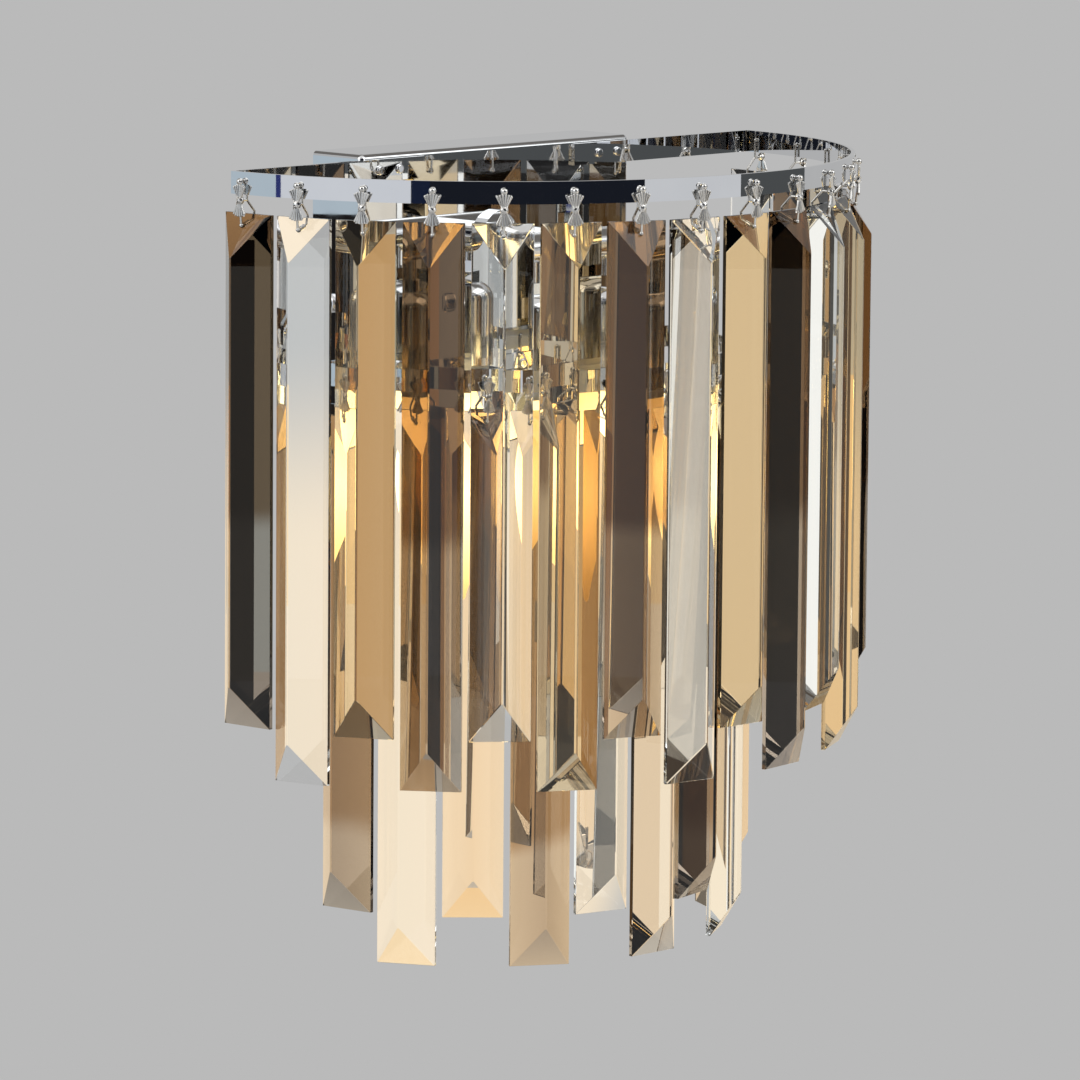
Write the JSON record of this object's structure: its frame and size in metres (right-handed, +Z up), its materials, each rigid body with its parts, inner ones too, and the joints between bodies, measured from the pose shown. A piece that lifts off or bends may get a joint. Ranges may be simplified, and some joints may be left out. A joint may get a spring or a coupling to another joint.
{
  "type": "crystal wall light",
  "caption": "Half-round wall light: chrome back plate, two strip rings in tiers, hanging triangular crystal drops in smoke, clear and amber, and candle lamps inside.",
  "frame": {"origin": "centre of the wall face, where the bracket meets the wall", "axes": "+Z up, +Y into the wall, the light stands out towards -Y; +X is to the right seen from the front"},
  "size_m": [0.2828, 0.1595, 0.2903],
  "materials": {
    "chrome": "polished chrome plate",
    "clip_chrome": "bright plated clip",
    "zinc_steel": "zinc-plated steel",
    "brass": "plain brass",
    "insulator": "off-white moulded insulator",
    "grommet": "black rubber bush",
    "lead_sheath": "heat-resistant sheath",
    "bulb_cap": "plated screw cap",
    "bulb_glass": "frosted glass, lit warm white",
    "crystal_smoke": "cut crystal, smoke tint",
    "crystal_clear": "cut crystal, clear",
    "crystal_amber": "cut crystal, pale amber tint"
  },
  "bodies": {
    "root": {"arm_collar": "chrome", "arm_nut": "zinc_steel", "arm_tube": "chrome", "back_plate": "chrome", "cable_grommet": "grommet", "crossbar": "chrome", "crossbar_caps": "chrome", "earth_screw": "brass", "earth_tag": "brass", "inner_clips": "clip_chrome", "inner_ring": "chrome", "lampholder_cover_left": "chrome", "lampholder_cover_right": "chrome", "lampholder_sockets": "insulator", "leads": "lead_sheath", "lock_nuts": "chrome", "nipples": "zinc_steel", "outer_clips": "clip_chrome", "outer_ring": "chrome", "ring_nuts": "zinc_steel", "ring_screws": "chrome", "screw_shells": "brass", "side_screws": "chrome", "socket_collars": "insulator", "spacers": "chrome", "terminal_block": "insulator", "terminal_screws": "brass", "wall_bracket": "zinc_steel"},
    "outer_drop_01": {"outer_prism_01": "crystal_smoke"},
    "outer_drop_02": {"outer_prism_02": "crystal_clear"},
    "outer_drop_03": {"outer_prism_03": "crystal_amber"},
    "outer_drop_04": {"outer_prism_04": "crystal_smoke"},
    "outer_drop_05": {"outer_prism_05": "crystal_clear"},
    "outer_drop_06": {"outer_prism_06": "crystal_amber"},
    "outer_drop_07": {"outer_prism_07": "crystal_smoke"},
    "outer_drop_08": {"outer_prism_08": "crystal_clear"},
    "outer_drop_09": {"outer_prism_09": "crystal_amber"},
    "outer_drop_10": {"outer_prism_10": "crystal_smoke"},
    "outer_drop_11": {"outer_prism_11": "crystal_clear"},
    "outer_drop_12": {"outer_prism_12": "crystal_amber"},
    "outer_drop_13": {"outer_prism_13": "crystal_smoke"},
    "outer_drop_14": {"outer_prism_14": "crystal_clear"},
    "outer_drop_15": {"outer_prism_15": "crystal_amber"},
    "outer_drop_16": {"outer_prism_16": "crystal_smoke"},
    "outer_drop_17": {"outer_prism_17": "crystal_clear"},
    "inner_drop_01": {"inner_prism_01": "crystal_smoke"},
    "inner_drop_02": {"inner_prism_02": "crystal_clear"},
    "inner_drop_03": {"inner_prism_03": "crystal_amber"},
    "inner_drop_04": {"inner_prism_04": "crystal_smoke"},
    "inner_drop_05": {"inner_prism_05": "crystal_clear"},
    "inner_drop_06": {"inner_prism_06": "crystal_amber"},
    "inner_drop_07": {"inner_prism_07": "crystal_smoke"},
    "inner_drop_08": {"inner_prism_08": "crystal_clear"},
    "inner_drop_09": {"inner_prism_09": "crystal_amber"},
    "inner_drop_10": {"inner_prism_10": "crystal_smoke"},
    "inner_drop_11": {"inner_prism_11": "crystal_clear"},
    "bulb_left": {"bulb_cap_left": "bulb_cap", "bulb_glass_left": "bulb_glass"},
    "bulb_right": {"bulb_cap_right": "bulb_cap", "bulb_glass_right": "bulb_glass"}
  },
  "joints": [
    {"name": "outer_swing_01", "type": "hinge", "parent": "root", "child": "outer_drop_01", "pos_m": [-0.13407, -0.0315, 0.0342], "axis": [-0.0539, 0.9985, 0], "range_deg": [-2.5, 6]},
    {"name": "outer_swing_02", "type": "hinge", "parent": "root", "child": "outer_drop_02", "pos_m": [-0.1302, -0.05601, 0.0342], "axis": [-0.2563, 0.9666, 0], "range_deg": [-2.5, 6]},
    {"name": "outer_swing_03", "type": "hinge", "parent": "root", "child": "outer_drop_03", "pos_m": [-0.12144, -0.07924, 0.0342], "axis": [-0.4451, 0.8955, 0], "range_deg": [-2.5, 6]},
    {"name": "outer_swing_04", "type": "hinge", "parent": "root", "child": "outer_drop_04", "pos_m": [-0.10825, -0.10027, 0.0342], "axis": [-0.612, 0.7908, 0], "range_deg": [-2.5, 6]},
    {"name": "outer_swing_05", "type": "hinge", "parent": "root", "child": "outer_drop_05", "pos_m": [-0.09124, -0.11835, 0.0342], "axis": [-0.7514, 0.6598, 0], "range_deg": [-2.5, 6]},
    {"name": "outer_swing_06", "type": "hinge", "parent": "root", "child": "outer_drop_06", "pos_m": [-0.07113, -0.13292, 0.0342], "axis": [-0.8604, 0.5095, 0], "range_deg": [-2.5, 6]},
    {"name": "outer_swing_07", "type": "hinge", "parent": "root", "child": "outer_drop_07", "pos_m": [-0.04871, -0.14358, 0.0342], "axis": [-0.9382, 0.3462, 0], "range_deg": [-2.5, 6]},
    {"name": "outer_swing_08", "type": "hinge", "parent": "root", "child": "outer_drop_08", "pos_m": [-0.02474, -0.15007, 0.0342], "axis": [-0.9846, 0.175, 0], "range_deg": [-2.5, 6]},
    {"name": "outer_swing_09", "type": "hinge", "parent": "root", "child": "outer_drop_09", "pos_m": [0, -0.15225, 0.0342], "axis": [-1, 0, 0], "range_deg": [-2.5, 6]},
    {"name": "outer_swing_10", "type": "hinge", "parent": "root", "child": "outer_drop_10", "pos_m": [0.02474, -0.15007, 0.0342], "axis": [-0.9846, -0.175, 0], "range_deg": [-2.5, 6]},
    {"name": "outer_swing_11", "type": "hinge", "parent": "root", "child": "outer_drop_11", "pos_m": [0.04871, -0.14358, 0.0342], "axis": [-0.9382, -0.3462, 0], "range_deg": [-2.5, 6]},
    {"name": "outer_swing_12", "type": "hinge", "parent": "root", "child": "outer_drop_12", "pos_m": [0.07113, -0.13292, 0.0342], "axis": [-0.8604, -0.5095, 0], "range_deg": [-2.5, 6]},
    {"name": "outer_swing_13", "type": "hinge", "parent": "root", "child": "outer_drop_13", "pos_m": [0.09124, -0.11835, 0.0342], "axis": [-0.7514, -0.6598, 0], "range_deg": [-2.5, 6]},
    {"name": "outer_swing_14", "type": "hinge", "parent": "root", "child": "outer_drop_14", "pos_m": [0.10825, -0.10027, 0.0342], "axis": [-0.612, -0.7908, 0], "range_deg": [-2.5, 6]},
    {"name": "outer_swing_15", "type": "hinge", "parent": "root", "child": "outer_drop_15", "pos_m": [0.12144, -0.07924, 0.0342], "axis": [-0.4451, -0.8955, 0], "range_deg": [-2.5, 6]},
    {"name": "outer_swing_16", "type": "hinge", "parent": "root", "child": "outer_drop_16", "pos_m": [0.1302, -0.05601, 0.0342], "axis": [-0.2563, -0.9666, 0], "range_deg": [-2.5, 6]},
    {"name": "outer_swing_17", "type": "hinge", "parent": "root", "child": "outer_drop_17", "pos_m": [0.13407, -0.0315, 0.0342], "axis": [-0.0539, -0.9985, 0], "range_deg": [-2.5, 6]},
    {"name": "inner_swing_01", "type": "hinge", "parent": "root", "child": "inner_drop_01", "pos_m": [-0.09018, -0.03794, -0.0373], "axis": [-0.1641, 0.9864, 0], "range_deg": [-1.2, 6]},
    {"name": "inner_swing_02", "type": "hinge", "parent": "root", "child": "inner_drop_02", "pos_m": [-0.08229, -0.06162, -0.0373], "axis": [-0.4584, 0.8887, 0], "range_deg": [-1.2, 6]},
    {"name": "inner_swing_03", "type": "hinge", "parent": "root", "child": "inner_drop_03", "pos_m": [-0.06767, -0.08185, -0.0373], "axis": [-0.6977, 0.7164, 0], "range_deg": [-1.2, 6]},
    {"name": "inner_swing_04", "type": "hinge", "parent": "root", "child": "inner_drop_04", "pos_m": [-0.04791, -0.09713, -0.0373], "axis": [-0.8676, 0.4972, 0], "range_deg": [-1.2, 6]},
    {"name": "inner_swing_05", "type": "hinge", "parent": "root", "child": "inner_drop_05", "pos_m": [-0.02478, -0.10656, -0.0373], "axis": [-0.9673, 0.2535, 0], "range_deg": [-1.2, 6]},
    {"name": "inner_swing_06", "type": "hinge", "parent": "root", "child": "inner_drop_06", "pos_m": [0, -0.10975, -0.0373], "axis": [-1, 0, 0], "range_deg": [-1.2, 6]},
    {"name": "inner_swing_07", "type": "hinge", "parent": "root", "child": "inner_drop_07", "pos_m": [0.02478, -0.10656, -0.0373], "axis": [-0.9673, -0.2535, 0], "range_deg": [-1.2, 6]},
    {"name": "inner_swing_08", "type": "hinge", "parent": "root", "child": "inner_drop_08", "pos_m": [0.04791, -0.09713, -0.0373], "axis": [-0.8676, -0.4972, 0], "range_deg": [-1.2, 6]},
    {"name": "inner_swing_09", "type": "hinge", "parent": "root", "child": "inner_drop_09", "pos_m": [0.06767, -0.08185, -0.0373], "axis": [-0.6977, -0.7164, 0], "range_deg": [-1.2, 6]},
    {"name": "inner_swing_10", "type": "hinge", "parent": "root", "child": "inner_drop_10", "pos_m": [0.08229, -0.06162, -0.0373], "axis": [-0.4584, -0.8887, 0], "range_deg": [-1.2, 6]},
    {"name": "inner_swing_11", "type": "hinge", "parent": "root", "child": "inner_drop_11", "pos_m": [0.09018, -0.03794, -0.0373], "axis": [-0.1641, -0.9864, 0], "range_deg": [-1.2, 6]},
    {"name": "bulb_turn_left", "type": "hinge", "parent": "root", "child": "bulb_left", "pos_m": [-0.022, -0.061, -0.0327], "axis": [0, 0, 1], "range_deg": [-1080, 0]},
    {"name": "bulb_turn_right", "type": "hinge", "parent": "root", "child": "bulb_right", "pos_m": [0.022, -0.061, -0.0327], "axis": [0, 0, 1], "range_deg": [-1080, 0]}
  ]
}
